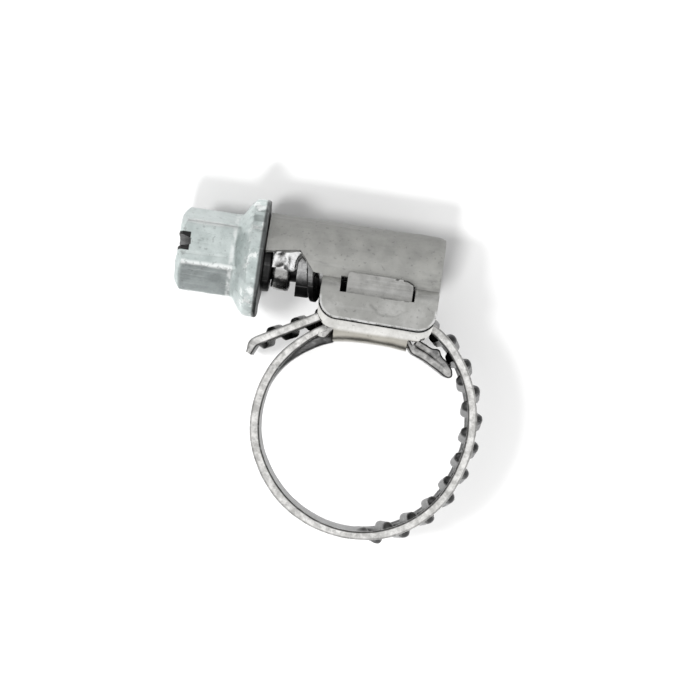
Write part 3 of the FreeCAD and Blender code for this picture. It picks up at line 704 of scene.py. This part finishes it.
class Web:
    """Short ways to add nodes to one tree."""

    def __init__(self, tree):
        self.nodes = tree.nodes
        self.links = tree.links

    def put(self, target, value):
        if isinstance(value, bpy.types.NodeSocket):
            self.links.new(value, target)
        else:
            target.default_value = value

    def add(self, kind, **settings):
        node = self.nodes.new(kind)
        for key, value in settings.items():
            setattr(node, key, value)
        return node

    def math(self, operation, a, b=None, clamp=False):
        node = self.add("ShaderNodeMath", operation=operation, use_clamp=clamp)
        self.put(node.inputs[0], a)
        if b is not None:
            self.put(node.inputs[1], b)
        return node.outputs[0]

    def step(self, value, low, high, to_low=0.0, to_high=1.0):
        node = self.add("ShaderNodeMapRange", interpolation_type="SMOOTHSTEP")
        for key, amount in zip(("Value", "From Min", "From Max", "To Min", "To Max"), (value, low, high, to_low, to_high)):
            self.put(node.inputs[key], amount)
        return node.outputs[0]

    def blend(self, share, a, b, how="MIX"):
        node = self.add("ShaderNodeMix", data_type="RGBA", blend_type=how)
        self.put(node.inputs[0], share)
        self.put(node.inputs[6], a)
        self.put(node.inputs[7], b)
        return node.outputs[2]

    def noise(self, vector, scale, detail=4.0, rough=0.55, stretch=None):
        if stretch is not None:
            mapping = self.add("ShaderNodeMapping")
            self.put(mapping.inputs["Vector"], vector)
            mapping.inputs["Scale"].default_value = stretch
            vector = mapping.outputs[0]
        node = self.add("ShaderNodeTexNoise")
        self.put(node.inputs["Vector"], vector)
        self.put(node.inputs["Scale"], scale)
        node.inputs["Detail"].default_value = detail
        node.inputs["Roughness"].default_value = rough
        return node.outputs[0]

    def group(self, tree, **values):
        node = self.add("ShaderNodeGroup")
        node.node_tree = tree
        for label, value in values.items():
            self.put(node.inputs[label.replace("_", " ")], value)
        return node.outputs


def grey(value, tint=(1.0, 1.0, 1.0)):
    return (value * tint[0], value * tint[1], value * tint[2], 1.0)


def handled_group():
    """Steel that has been pressed and handled: soft blotches, small dark pits and fine scratches."""
    group, source, result = new_group("handled_steel", [
        ("NodeSocketVector", "Position", None), ("NodeSocketFloat", "Blotch size", 900.0),
        ("NodeSocketFloat", "Pit amount", 0.5),
    ], [("NodeSocketFloat", "Blotch"), ("NodeSocketFloat", "Pit"), ("NodeSocketFloat", "Scratch"), ("NodeSocketFloat", "Height")])
    web = Web(group)
    place = source.outputs["Position"]
    blotch = web.step(web.noise(place, source.outputs["Blotch size"], 6.0, 0.62), 0.3, 0.7)
    pit = web.step(web.noise(place, 2600.0, 3.0, 0.5), 0.6, 0.72)
    pit = web.math("MULTIPLY", pit, source.outputs["Pit amount"])
    first = web.step(web.noise(place, 900.0, 2.0, 0.5, (0.1, 2.4, 2.4)), 0.6, 0.72)
    second = web.step(web.noise(place, 900.0, 2.0, 0.5, (0.06, 5.0, 5.0)), 0.62, 0.74)
    scratch = web.math("MAXIMUM", first, second)
    fine = web.noise(place, 5200.0, 5.0, 0.6)
    height = web.math("SUBTRACT", web.math("ADD", web.math("MULTIPLY", blotch, 0.6), web.math("MULTIPLY", fine, 0.5)),
                      web.math("ADD", web.math("MULTIPLY", pit, 0.5), web.math("MULTIPLY", scratch, 0.35)))
    for label, value in (("Blotch", blotch), ("Pit", pit), ("Scratch", scratch), ("Height", height)):
        web.links.new(value, result.inputs[label])
    return group


HANDLED = handled_group()


def steel(name, dark, light, rough, bump=0.2, pits=0.5, blotch_size=900.0, scratches=0.2, extra=None):
    """A metal finish between two greys, with handling marks; extra changes it by place."""
    material = bpy.data.materials.new(name)
    material.use_nodes = True
    web = Web(material.node_tree)
    shader = material.node_tree.nodes["Principled BSDF"]
    place = web.add("ShaderNodeTexCoord").outputs["Object"]
    marks = web.group(HANDLED, Position=place, Blotch_size=blotch_size, Pit_amount=pits)
    colour = web.blend(marks["Blotch"], dark, light)
    roughness = web.math("ADD", web.math("MULTIPLY", marks["Blotch"], 0.12), rough)
    height = marks["Height"]
    if extra is not None:
        colour, roughness, height = extra(web, place, marks, colour, roughness, height)
    colour = web.blend(web.math("MULTIPLY", marks["Pit"], 0.6), colour, grey(0.1))
    colour = web.blend(web.math("MULTIPLY", marks["Scratch"], scratches), colour, grey(0.85))
    web.put(shader.inputs["Base Color"], colour)
    web.put(shader.inputs["Roughness"], roughness)
    shader.inputs["Metallic"].default_value = 1.0
    relief = web.add("ShaderNodeBump")
    relief.inputs["Strength"].default_value = bump
    relief.inputs["Distance"].default_value = 0.00008
    web.put(relief.inputs["Height"], height)
    web.links.new(relief.outputs[0], shader.inputs["Normal"])
    return material


def band_edges(web, place, marks, colour, roughness, height):
    """Sheared edges of the band are bright; painted shade darkens its inner side, the tail and the ribs, and a painted
    shade line runs along the edges' corners.
    """
    def mark(label):
        return web.add("ShaderNodeAttribute", attribute_name=label).outputs["Fac"]

    parts = web.add("ShaderNodeSeparateXYZ")
    web.put(parts.inputs[0], place)
    edge = web.step(web.math("ABSOLUTE", parts.outputs[2]), 0.00425, 0.0044)
    # Painted shade on the ribs, stronger towards the ends of the ribs.
    rib_end = web.step(web.math("ABSOLUTE", parts.outputs[2]), 0.0031, 0.0029)
    rib_end = web.math("MULTIPLY", rib_end, web.step(web.math("ABSOLUTE", parts.outputs[2]), 0.0018, 0.0022))
    ribs_painted_shade = web.math("MULTIPLY", mark("ribbed"), web.math("ADD", web.math("MULTIPLY", rib_end, 0.35), 0.4))
    colour = web.blend(ribs_painted_shade, colour, grey(0.05))
    streak = web.step(web.noise(place, 1400.0, 5.0, 0.65), 0.32, 0.68)
    face = web.blend(streak, grey(0.48, (1, 0.99, 0.96)), grey(0.88, (1, 0.99, 0.97)))
    used = web.blend(streak, grey(0.16), grey(0.5, (1, 0.99, 0.97)))
    face = web.blend(mark("worn"), face, used)
    # Painted shade: the inner side and the tail's shaded stretch are darkened.
    painted_shade_colour = web.blend(marks["Blotch"], grey(0.07), grey(0.2))
    colour = web.blend(mark("painted_shade"), colour, painted_shade_colour)
    colour = web.blend(edge, colour, face)
    # Painted shade line along the rims' corners.
    colour = web.blend(web.math("MULTIPLY", mark("outline"), 0.85), colour, grey(0.02))
    roughness = web.math("ADD", roughness, web.math("MULTIPLY", edge, 0.1))
    return colour, roughness, height


def outline_group():
    """Distance outwards from the housing plate's outline, a rectangle with round corners, across the side."""
    group, source, result = new_group("plate_outline", [("NodeSocketVector", "Position", None)],
                                      [("NodeSocketFloat", "Distance")])
    web = Web(group)
    parts = web.add("ShaderNodeSeparateXYZ")
    web.put(parts.inputs[0], source.outputs["Position"])
    x, y = parts.outputs[0], parts.outputs[1]
    away_x = web.math("SUBTRACT", web.math("ABSOLUTE", web.math("ADD", x, 0.000525)), 0.005375 - 0.0017)
    away_y = web.math("SUBTRACT", web.math("SUBTRACT", 0.01182, web.math("MULTIPLY", x, 0.02)), y)
    squares = [web.math("POWER", web.math("MAXIMUM", away, 0.0), 2.0) for away in (away_x, away_y)]
    reach = web.math("SQRT", web.math("ADD", *squares))
    web.links.new(web.math("SUBTRACT", reach, 0.0017), result.inputs["Distance"])
    return group


OUTLINE = outline_group()


def housing_places(web, place, marks, colour, roughness, height):
    """Painted highlight along the plates' lower edge, and painted shade in streaks along the barrel above the feet and
    on the barrel's far flank.
    """
    parts = web.add("ShaderNodeSeparateXYZ")
    web.put(parts.inputs[0], place)
    side = web.step(web.math("ABSOLUTE", parts.outputs[2]), 0.0056, 0.0058)
    away = web.group(OUTLINE, Position=place)["Distance"]
    # Painted highlight along the plates' lower edge.
    painted_highlight = web.math("MULTIPLY", web.step(away, -0.00024, -0.0001), web.step(web.noise(place, 2500.0, 3.0), 0.3, 0.55))
    below = web.step(parts.outputs[1], 0.0123, 0.0118)
    colour = web.blend(web.math("MULTIPLY", web.math("MULTIPLY", painted_highlight, side), below), colour, grey(0.95))
    worn_patch = web.math("MULTIPLY", side, web.step(web.noise(place, 380.0, 5.0, 0.7), 0.42, 0.7))
    colour = web.blend(web.math("MULTIPLY", worn_patch, 0.5), colour, grey(0.85, (1, 1, 0.98)))
    colour = web.blend(web.math("MULTIPLY", side, 0.35), colour, grey(0.3, (1, 1, 0.97)))
    # Painted shade in streaks along the crease of the barrel above the feet.
    crease_painted_shade = web.step(web.noise(place, 420.0, 5.0, 0.6, (0.35, 1.6, 1.0)), 0.55, 0.75)
    low = web.math("MULTIPLY", web.step(parts.outputs[1], 0.0158, 0.0148), web.step(parts.outputs[1], 0.0136, 0.0142))
    colour = web.blend(web.math("MULTIPLY", web.math("MULTIPLY", crease_painted_shade, low), 0.55), colour, grey(0.12))
    # Painted shade on the barrel's far flank.
    far_flank_painted_shade = web.step(parts.outputs[1], 0.0172, 0.0192)
    colour = web.blend(web.math("MULTIPLY", far_flank_painted_shade, 0.6), colour, grey(0.14, (1, 1, 0.96)))
    return colour, roughness, height


def screw_places(web, place, marks, colour, roughness, height):
    """Painted shade on the collar behind the flange, on one flat, in the slot, along the flange's back edge and on the
    top of the head; painted highlights on the head's corners, the flange's rim, the slot's middle and where the hexagon
    meets the cone; random dirt; and the plating is lumpy.
    """
    parts = web.add("ShaderNodeSeparateXYZ")
    web.put(parts.inputs[0], place)
    # Painted shade on the lower hexagon flat.
    flat = web.add("ShaderNodeVectorMath", operation="DOT_PRODUCT")
    web.put(flat.inputs[0], place)
    turn = math.radians(139.5)
    flat.inputs[1].default_value = (0.0, math.cos(turn), math.sin(turn))
    reach = web.math("SUBTRACT", flat.outputs["Value"], SCREW_Y * MM * math.cos(turn))
    flat_painted_shade = web.math("MULTIPLY", web.step(reach, 0.00335, 0.00345), web.step(parts.outputs[0], -0.01405, -0.0144))
    inset = web.step(parts.outputs[0], -0.0192, -0.0188)
    flat_painted_shade = web.math("MULTIPLY", flat_painted_shade, inset)
    colour = web.blend(web.math("MULTIPLY", flat_painted_shade, 0.8), colour, web.blend(marks["Blotch"], grey(0.2, (0.92, 1, 1)), grey(0.34, (0.92, 1, 1))))
    # Painted shade in the driver slot, with a painted highlight along its middle.
    across = web.add("ShaderNodeVectorMath", operation="DOT_PRODUCT")
    web.put(across.inputs[0], place)
    lean = math.radians(10.5)
    across.inputs[1].default_value = (0.0, math.cos(lean), -math.sin(lean))
    off_slot = web.math("ABSOLUTE", web.math("SUBTRACT", across.outputs["Value"], SCREW_Y * MM * math.cos(lean)))
    slot_painted_shade = web.math("MULTIPLY", web.step(off_slot, 0.0009, 0.00082), web.step(parts.outputs[0], -0.01838, -0.01846))
    slot_painted_highlight = web.step(off_slot, 0.00032, 0.00024)
    colour = web.blend(slot_painted_shade, colour, web.blend(slot_painted_highlight, grey(0.03), grey(0.9)))
    off_axis = web.add("ShaderNodeVectorMath", operation="LENGTH")
    flat_place = web.add("ShaderNodeVectorMath", operation="MULTIPLY_ADD")
    web.put(flat_place.inputs[0], place)
    flat_place.inputs[1].default_value = (0.0, 1.0, 1.0)
    flat_place.inputs[2].default_value = (0.0, -SCREW_Y * MM, 0.0)
    web.links.new(flat_place.outputs[0], off_axis.inputs[0])
    radius = off_axis.outputs["Value"]
    head_only = web.step(parts.outputs[0], -0.0141, -0.0143)
    # Painted highlight on the head's corners and the flange's rim, partly worn plating.
    corner = web.math("MULTIPLY", web.step(radius, 0.00386, 0.00396), head_only)
    rim = web.math("MULTIPLY", web.step(radius, 0.0047, 0.0053), web.step(web.noise(place, 900.0, 4.0, 0.7), 0.5, 0.62))
    painted_highlight = web.math("MULTIPLY", web.math("MAXIMUM", corner, rim), web.step(web.noise(place, 3000.0, 3.0), 0.25, 0.5))
    colour = web.blend(web.math("MULTIPLY", painted_highlight, 0.8), colour, grey(0.95, (0.98, 1, 0.99)))
    # Painted shade line along the flange's back edge.
    back_corner_painted_shade = web.step(parts.outputs[0], -0.01205, -0.01185)
    colour = web.blend(web.math("MULTIPLY", back_corner_painted_shade, 0.85), colour, grey(0.05))
    # Painted highlight where the hexagon meets the cone.
    root = web.math("MULTIPLY", web.step(parts.outputs[0], -0.01475, -0.0145), web.step(parts.outputs[0], -0.0142, -0.01435))
    colour = web.blend(web.math("MULTIPLY", web.math("MULTIPLY", root, web.step(web.noise(place, 1200.0), 0.35, 0.6)), 0.55), colour, grey(0.95, (0.98, 1, 0.99)))
    # Painted shade on the top of the head.
    top_flat_painted_shade = web.math("MULTIPLY", web.step(parts.outputs[1], 0.0166, 0.0172), head_only)
    colour = web.blend(web.math("MULTIPLY", top_flat_painted_shade, 0.3), colour, grey(0.4, (0.96, 1, 1)))
    dirt = web.step(web.noise(place, 700.0, 5.0, 0.7), 0.6, 0.75)
    colour = web.blend(web.math("MULTIPLY", dirt, 0.35), colour, grey(0.12))
    # Painted shade: the collar in its crevice behind the flange is made nearly black.
    collar = web.step(parts.outputs[0], -0.01156, -0.01148)
    colour = web.blend(collar, colour, grey(0.04))
    lumpy = web.noise(place, 1100.0, 4.0, 0.6)
    height = web.math("ADD", height, web.math("MULTIPLY", lumpy, 1.6))
    return colour, roughness, height


def lip_places(web, place, marks, colour, roughness, height):
    """The pressed lip is bright in worn blotches, takes painted shade on its lower part, and is dark with oil at its
    folds.
    """
    parts = web.add("ShaderNodeSeparateXYZ")
    web.put(parts.inputs[0], place)
    # Painted shade, warm-tinted, on the lip's lower part.
    low = web.step(parts.outputs[1], 0.0141, 0.0137)
    fold = web.step(web.noise(place, 900.0, 3.0, 0.6), 0.52, 0.66)
    colour = web.blend(web.math("MULTIPLY", low, 0.75), colour, grey(0.16, (1, 0.98, 0.92)))
    colour = web.blend(web.math("MULTIPLY", fold, 0.8), colour, grey(0.03))
    return colour, roughness, height


def worm_places(web, place, marks, colour, roughness, height):
    """Painted shade, nearly black, on the underside of the worm's first turns."""
    parts = web.add("ShaderNodeSeparateXYZ")
    web.put(parts.inputs[0], place)
    wander = web.math("MULTIPLY", web.math("SUBTRACT", web.noise(place, 500.0), 0.5), 0.002)
    # Painted shade on the worm's underside; it turns with the worm.
    low = web.step(web.math("ADD", parts.outputs[1], wander), 0.0137, 0.0127)
    colour = web.blend(web.math("MULTIPLY", low, 0.95), colour, grey(0.012))
    return colour, web.math("ADD", roughness, web.math("MULTIPLY", low, 0.3)), height


def saddle_places(web, place, marks, colour, roughness, height):
    """Painted shade along the housing plate's edge, duller tabs above it, and a warm stain with painted shade on the
    strap's bend.
    """
    parts = web.add("ShaderNodeSeparateXYZ")
    web.put(parts.inputs[0], place)
    y = parts.outputs[1]
    out_of_plate = web.group(OUTLINE, Position=place)["Distance"]
    # Painted shade line on the saddle's wall just outside the housing plate's edge.
    seam = web.step(out_of_plate, 0.0002, 0.0001)
    tab = web.step(y, 0.0123, 0.0126)
    colour = web.blend(web.math("MULTIPLY", tab, 0.85), colour, web.blend(marks["Blotch"], grey(0.22, (1, 1, 0.97)), grey(0.34, (1, 1, 0.97))))
    # Warm stain with painted shade on the strap's bend.
    bend = web.step(y, 0.00935, 0.009)
    colour = web.blend(web.math("MULTIPLY", bend, 0.7), colour, (0.27, 0.25, 0.2, 1.0))
    painted_shade_on_wall = web.math("MULTIPLY", seam, web.step(y, 0.0126, 0.0123))
    colour = web.blend(painted_shade_on_wall, colour, grey(0.01))
    return colour, roughness, height


def dress(piece, material, body, node):
    """Gives a piece its finish and its body, and hides the solid it stands for."""
    piece.data.materials.clear()
    piece.data.materials.append(material)
    if body:
        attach(piece, body)
    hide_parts(node)


BAND = steel("band_finish", grey(0.14), grey(0.32), 0.3, extra=band_edges)
SADDLE = steel("saddle_finish", grey(0.6, (1, 0.99, 0.95)), grey(0.9, (1, 0.99, 0.96)), 0.3, blotch_size=700.0, scratches=0.1, extra=saddle_places)
HOUSING = steel("housing_finish", grey(0.4, (1, 1, 0.96)), grey(0.54, (1, 1, 0.96)), 0.58, blotch_size=600.0, scratches=0.06, extra=housing_places)
LIP = steel("lip_finish", grey(0.55), grey(0.95), 0.2, extra=lip_places)
SCREW = steel("screw_finish", grey(0.5, (0.89, 1.0, 0.98)), grey(0.72, (0.92, 1.0, 0.985)), 0.38, bump=0.5, blotch_size=500.0, scratches=0.08, extra=screw_places)
WORM = steel("worm_finish", grey(0.25), grey(0.6), 0.2, extra=worm_places)

# ---------------------------------------------------------------- pieces

dress(make_fixed_band(), BAND, "root", "band_loop")
moving = make_moving_band()
moving.data.materials.append(BAND)
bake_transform(moving)
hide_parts("band_free_run")
solid_pieces = []
for piece, finish, body, node in (
    (make_saddle(), SADDLE, "root", "saddle"),
    (make_housing(), HOUSING, "root", "housing"),
    (make_throat(), LIP, "root", "housing"),
    (make_flap(False), LIP, "root", "housing"),
    (make_flap(True), LIP, "root", "housing"),
    (make_screw_head(), SCREW, "screw", "worm_screw"),
    (make_worm(), WORM, "screw", "worm_screw"),
):
    dress(piece, finish, body, node)
    solid_pieces.append(piece)

# ---------------------------------------------------------------- floor, light, camera

FLOOR_Z = -0.0061


def make_floor():
    """A wide flat floor, pale and matt."""
    half = 0.6
    mesh = bpy.data.meshes.new("floor")
    mesh.from_pydata([(-half, -half, FLOOR_Z), (half, -half, FLOOR_Z), (half, half, FLOOR_Z), (-half, half, FLOOR_Z)], [], [(0, 1, 2, 3)])
    floor = bpy.data.objects.new("floor", mesh)
    bpy.context.scene.collection.objects.link(floor)
    paint = bpy.data.materials.new("floor_paper")
    paint.use_nodes = True
    web = Web(paint.node_tree)
    shader = paint.node_tree.nodes["Principled BSDF"]
    place = web.add("ShaderNodeTexCoord").outputs["Object"]
    web.put(shader.inputs["Base Color"], web.blend(web.noise(place, 40.0), grey(0.54), grey(0.56)))
    shader.inputs["Roughness"].default_value = 0.9
    shader.inputs["Specular IOR Level"].default_value = 0.1
    floor.data.materials.append(paint)


def area_light(name, place, aim, size, power, blockers=None):
    light = bpy.data.lights.new(name, "AREA")
    light.size = size
    light.energy = power
    lamp = bpy.data.objects.new(name, light)
    lamp.location = place
    lamp.visible_glossy = False
    lamp.rotation_euler = (Vector(aim) - Vector(place)).to_track_quat("-Z", "Y").to_euler()
    bpy.context.scene.collection.objects.link(lamp)
    if blockers:
        shade = bpy.data.collections.new(name + "_blockers")
        for piece in blockers:
            shade.objects.link(piece)
        lamp.light_linking.blocker_collection = shade


make_floor()
world = bpy.data.worlds.new("studio")
bpy.context.scene.world = world
world.use_nodes = True
web = Web(world.node_tree)
backdrop = world.node_tree.nodes["Background"]
direction = web.add("ShaderNodeTexCoord").outputs["Generated"]
height = web.add("ShaderNodeSeparateXYZ")
web.put(height.inputs[0], direction)
toward = web.add("ShaderNodeVectorMath", operation="DOT_PRODUCT")
web.put(toward.inputs[0], direction)
toward.inputs[1].default_value = (-0.5, -0.8, 0.0)
sideways = web.step(toward.outputs["Value"], -0.8, 0.6)
rise = web.step(height.outputs[2], 0.1, 0.55)
overhead = web.step(height.outputs[2], 0.8, 0.95)
sky = web.blend(rise, web.blend(sideways, grey(0.02), grey(0.12)), web.blend(sideways, grey(0.9), grey(1.35)))
web.put(backdrop.inputs["Color"], web.blend(overhead, sky, grey(1.05)))
backdrop.inputs["Strength"].default_value = 1.0

area_light("key", (-0.035, -0.13, 0.27), (0.0, 0.01, 0.0), 0.045, 0.85, solid_pieces)
area_light("side_key", (-0.13, -0.02, 0.27), (0.0, 0.0, 0.0), 0.06, 0.66, solid_pieces + [moving])
area_light("fill", (0.16, -0.05, 0.2), (0.0, 0.006, 0.0), 0.16, 0.05)

camera_data = bpy.data.cameras.new("camera")
camera_data.sensor_width = 36.0
camera_data.lens = 171.08
camera_data.clip_start = 0.01
camera = bpy.data.objects.new("camera", camera_data)
camera.location = (-0.002462, 0.007487, 0.308)
camera.rotation_euler = (0.0, 0.0, math.radians(8.4))
bpy.context.scene.collection.objects.link(camera)
bpy.context.scene.camera = camera
bpy.context.scene.view_settings.view_transform = "Standard"
